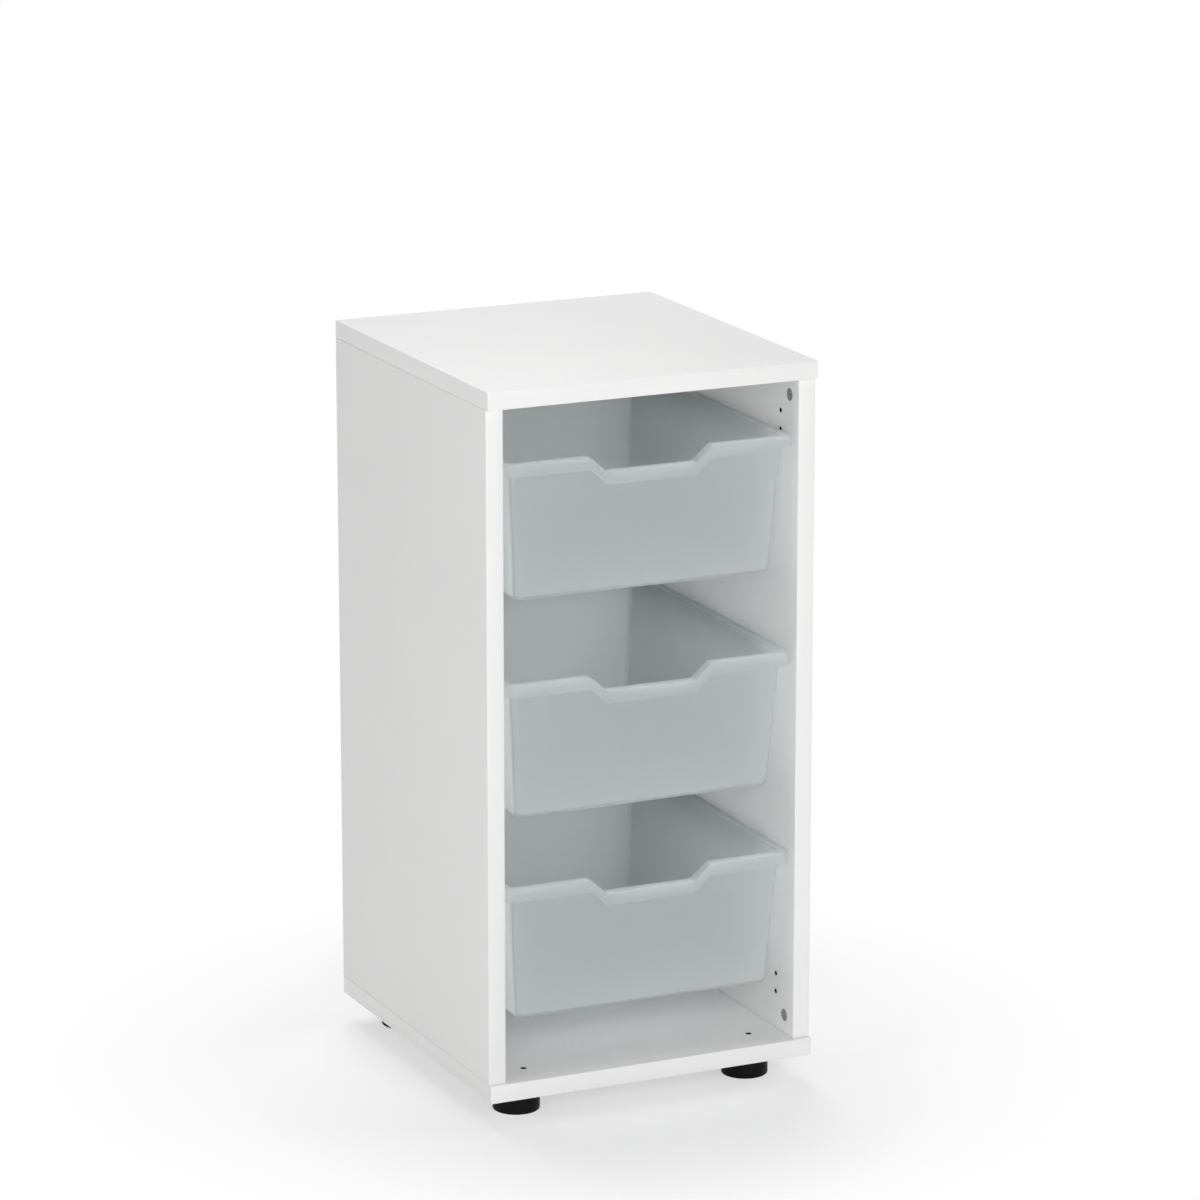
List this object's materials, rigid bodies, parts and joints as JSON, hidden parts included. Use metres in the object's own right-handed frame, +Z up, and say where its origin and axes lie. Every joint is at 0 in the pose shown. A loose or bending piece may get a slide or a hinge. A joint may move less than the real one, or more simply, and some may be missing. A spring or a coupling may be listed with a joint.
{
  "type": "drawer cabinet",
  "caption": "Narrow open-front cabinet of white melamine board on black levelling feet, with translucent plastic trays that pull out on side runners by a finger notch.",
  "frame": {"origin": "on the floor, under the middle of the cabinet's footprint", "axes": "+X to the right as seen by someone facing the front, -Y out of the open front, +Z up"},
  "size_m": [0.352, 0.381, 0.741],
  "materials": {
    "melamine_board": "white melamine face and edge banding, fine satin grain, on chipboard",
    "frosted_plastic": "frosted translucent polypropylene, cool grey, faint sheen",
    "runner_plastic": "pale grey moulded plastic, satin",
    "foot_plastic": "black moulded plastic, matt",
    "cast_zinc": "die-cast zinc, dull grey",
    "screw_steel": "zinc-plated steel",
    "beech": "plain beech, fine straight grain"
  },
  "bodies": {
    "cabinet": {"top_panel": "melamine_board", "bottom_panel": "melamine_board", "left_side_panel": "melamine_board", "right_side_panel": "melamine_board", "back_panel": "melamine_board", "back_screw_left_lower": "screw_steel", "back_screw_left_upper": "screw_steel", "back_screw_right_lower": "screw_steel", "back_screw_right_upper": "screw_steel", "back_screw_bottom": "screw_steel", "back_screw_top": "screw_steel", "cam_left_bottom_front": "cast_zinc", "cam_left_bottom_back": "cast_zinc", "cam_left_top_front": "cast_zinc", "cam_left_top_back": "cast_zinc", "cam_right_bottom_front": "cast_zinc", "cam_right_bottom_back": "cast_zinc", "cam_right_top_front": "cast_zinc", "cam_right_top_back": "cast_zinc", "cam_bolt_left_bottom_front": "screw_steel", "cam_bolt_left_bottom_back": "screw_steel", "cam_bolt_left_top_front": "screw_steel", "cam_bolt_left_top_back": "screw_steel", "cam_bolt_right_bottom_front": "screw_steel", "cam_bolt_right_bottom_back": "screw_steel", "cam_bolt_right_top_front": "screw_steel", "cam_bolt_right_top_back": "screw_steel", "dowel_left_bottom_front": "beech", "dowel_left_bottom_back": "beech", "dowel_left_top_front": "beech", "dowel_left_top_back": "beech", "dowel_right_bottom_front": "beech", "dowel_right_bottom_back": "beech", "dowel_right_top_front": "beech", "dowel_right_top_back": "beech", "runner_left_top": "runner_plastic", "runner_right_top": "runner_plastic", "runner_left_middle": "runner_plastic", "runner_right_middle": "runner_plastic", "runner_left_bottom": "runner_plastic", "runner_right_bottom": "runner_plastic", "foot_housing_front_left": "foot_plastic", "foot_housing_front_right": "foot_plastic", "foot_housing_back_left": "foot_plastic", "foot_housing_back_right": "foot_plastic"},
    "tray_top": {"tray_top": "frosted_plastic"},
    "tray_middle": {"tray_middle": "frosted_plastic"},
    "tray_bottom": {"tray_bottom": "frosted_plastic"},
    "foot_cup_front_left": {"foot_cup_front_left": "foot_plastic"},
    "foot_cup_front_right": {"foot_cup_front_right": "foot_plastic"},
    "foot_cup_back_left": {"foot_cup_back_left": "foot_plastic"},
    "foot_cup_back_right": {"foot_cup_back_right": "foot_plastic"},
    "foot_screw_front_left": {"foot_screw_front_left": "screw_steel"},
    "foot_screw_front_right": {"foot_screw_front_right": "screw_steel"},
    "foot_screw_back_left": {"foot_screw_back_left": "screw_steel"},
    "foot_screw_back_right": {"foot_screw_back_right": "screw_steel"}
  },
  "joints": [
    {"name": "tray_top_slide", "type": "slide", "parent": "cabinet", "child": "tray_top", "axis": [0, -1, 0], "range_m": [0, 0.38]},
    {"name": "tray_middle_slide", "type": "slide", "parent": "cabinet", "child": "tray_middle", "axis": [0, -1, 0], "range_m": [0, 0.38]},
    {"name": "tray_bottom_slide", "type": "slide", "parent": "cabinet", "child": "tray_bottom", "axis": [0, -1, 0], "range_m": [0, 0.38]},
    {"name": "foot_screw_front_left_turn", "type": "hinge", "parent": "cabinet", "child": "foot_screw_front_left", "pos_m": [-0.12439, -0.15269, 0.015], "axis": [0, 0, 1], "range_deg": [0, 2881]},
    {"name": "foot_screw_front_right_turn", "type": "hinge", "parent": "cabinet", "child": "foot_screw_front_right", "pos_m": [0.12439, -0.15269, 0.015], "axis": [0, 0, 1], "range_deg": [0, 2881]},
    {"name": "foot_screw_back_left_turn", "type": "hinge", "parent": "cabinet", "child": "foot_screw_back_left", "pos_m": [-0.12439, 0.15869, 0.015], "axis": [0, 0, 1], "range_deg": [0, 2881]},
    {"name": "foot_screw_back_right_turn", "type": "hinge", "parent": "cabinet", "child": "foot_screw_back_right", "pos_m": [0.12439, 0.15869, 0.015], "axis": [0, 0, 1], "range_deg": [0, 2881]},
    {"name": "foot_cup_front_left_drop", "type": "slide", "parent": "cabinet", "child": "foot_cup_front_left", "axis": [0, 0, -1], "range_m": [0, 0.008]},
    {"name": "foot_cup_front_right_drop", "type": "slide", "parent": "cabinet", "child": "foot_cup_front_right", "axis": [0, 0, -1], "range_m": [0, 0.008]},
    {"name": "foot_cup_back_left_drop", "type": "slide", "parent": "cabinet", "child": "foot_cup_back_left", "axis": [0, 0, -1], "range_m": [0, 0.008]},
    {"name": "foot_cup_back_right_drop", "type": "slide", "parent": "cabinet", "child": "foot_cup_back_right", "axis": [0, 0, -1], "range_m": [0, 0.008]}
  ],
  "couplings": [
    {"joint": "foot_screw_front_left_turn", "follows": "foot_cup_front_left_drop", "rad_per_m": 6283.2},
    {"joint": "foot_screw_front_right_turn", "follows": "foot_cup_front_right_drop", "rad_per_m": 6283.2},
    {"joint": "foot_screw_back_left_turn", "follows": "foot_cup_back_left_drop", "rad_per_m": 6283.2},
    {"joint": "foot_screw_back_right_turn", "follows": "foot_cup_back_right_drop", "rad_per_m": 6283.2}
  ]
}
